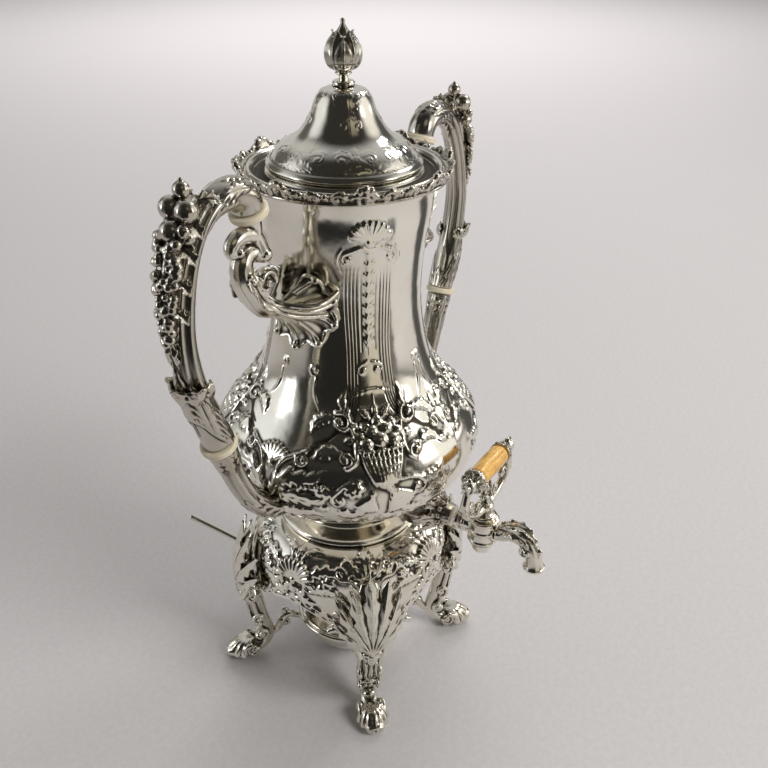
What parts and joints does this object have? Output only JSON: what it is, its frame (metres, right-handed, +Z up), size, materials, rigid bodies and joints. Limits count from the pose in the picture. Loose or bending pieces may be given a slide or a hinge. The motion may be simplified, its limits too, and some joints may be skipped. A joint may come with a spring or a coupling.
{
  "type": "coffee urn",
  "caption": "Baluster silver coffee urn with scroll handles, spigot and lift-off lid, resting on a footed lamp stand with a spirit burner.",
  "frame": {"origin": "on the floor below the vessel's turning axis, which is the middle of the overall box", "axes": "+Z up along the vessel's axis, -Y towards the spigot, the handles along X, the lamp's rod handle towards +Y"},
  "size_m": [0.283, 0.2812, 0.42],
  "materials": {
    "silver": "polished sterling with light tarnish in the recesses",
    "oxidised_silver": "cast silver with darkened recesses",
    "ivory": "aged cream ivory, softly polished",
    "amber_ivory": "amber-stained ivory, polished",
    "cotton": "woven cotton wick"
  },
  "bodies": {
    "stand": {"stand_shell": "silver", "lamp_ring": "silver", "leg_front_left": "silver", "leg_front_right": "silver", "leg_back_right": "silver", "leg_back_left": "silver", "lamp_arm_front_left": "silver", "lamp_arm_front_right": "silver", "lamp_arm_back_right": "silver", "lamp_arm_back_left": "silver"},
    "vessel": {"vessel_body": "silver", "rim_border": "silver", "mouth_ring": "silver", "foot_ring": "silver", "spigot_flange": "silver", "spigot_body": "silver", "spigot_nozzle": "silver", "strainer": "silver", "handle_left": "silver", "upper_bracket_left": "silver", "lower_socket_left": "silver", "fruit_cluster_left": "oxidised_silver", "dowel_upper_left": "silver", "insulator_upper_left": "ivory", "dowel_lower_left": "silver", "insulator_lower_left": "ivory", "handle_right": "silver", "upper_bracket_right": "silver", "lower_socket_right": "silver", "fruit_cluster_right": "oxidised_silver", "dowel_upper_right": "silver", "insulator_upper_right": "ivory", "dowel_lower_right": "silver", "insulator_lower_right": "ivory"},
    "lid": {"lid": "silver", "lid_bezel": "silver", "finial_stem": "silver", "finial_bud": "silver", "finial_nut": "silver"},
    "tap": {"tap_plug": "silver", "plug_washer": "silver", "plug_nut": "silver", "tap_yoke": "silver", "tap_leaf": "silver", "grip_rod": "silver", "tap_grip": "amber_ivory", "grip_cap_left": "silver", "grip_cap_right": "silver"},
    "burner": {"burner_bowl": "silver", "burner_cover": "silver", "wick_tube": "silver", "wick": "cotton", "burner_handle": "silver"},
    "snuffer": {"snuffer_cap": "silver"}
  },
  "joints": [
    {"name": "vessel_lift", "type": "slide", "parent": "stand", "child": "vessel", "axis": [0, 0, 1], "range_m": [0, 0.12]},
    {"name": "lid_lift", "type": "slide", "parent": "vessel", "child": "lid", "axis": [0, 0, 1], "range_m": [0, 0.08]},
    {"name": "tap_turn", "type": "hinge", "parent": "vessel", "child": "tap", "pos_m": [0, -0.097, 0.146], "axis": [0, 0, 1], "range_deg": [0, 40]},
    {"name": "burner_lift", "type": "slide", "parent": "stand", "child": "burner", "axis": [0, 0, 1], "range_m": [0, 0.012]},
    {"name": "cap_lift", "type": "slide", "parent": "burner", "child": "snuffer", "axis": [0, 0, 1], "range_m": [0, 0.025]}
  ]
}
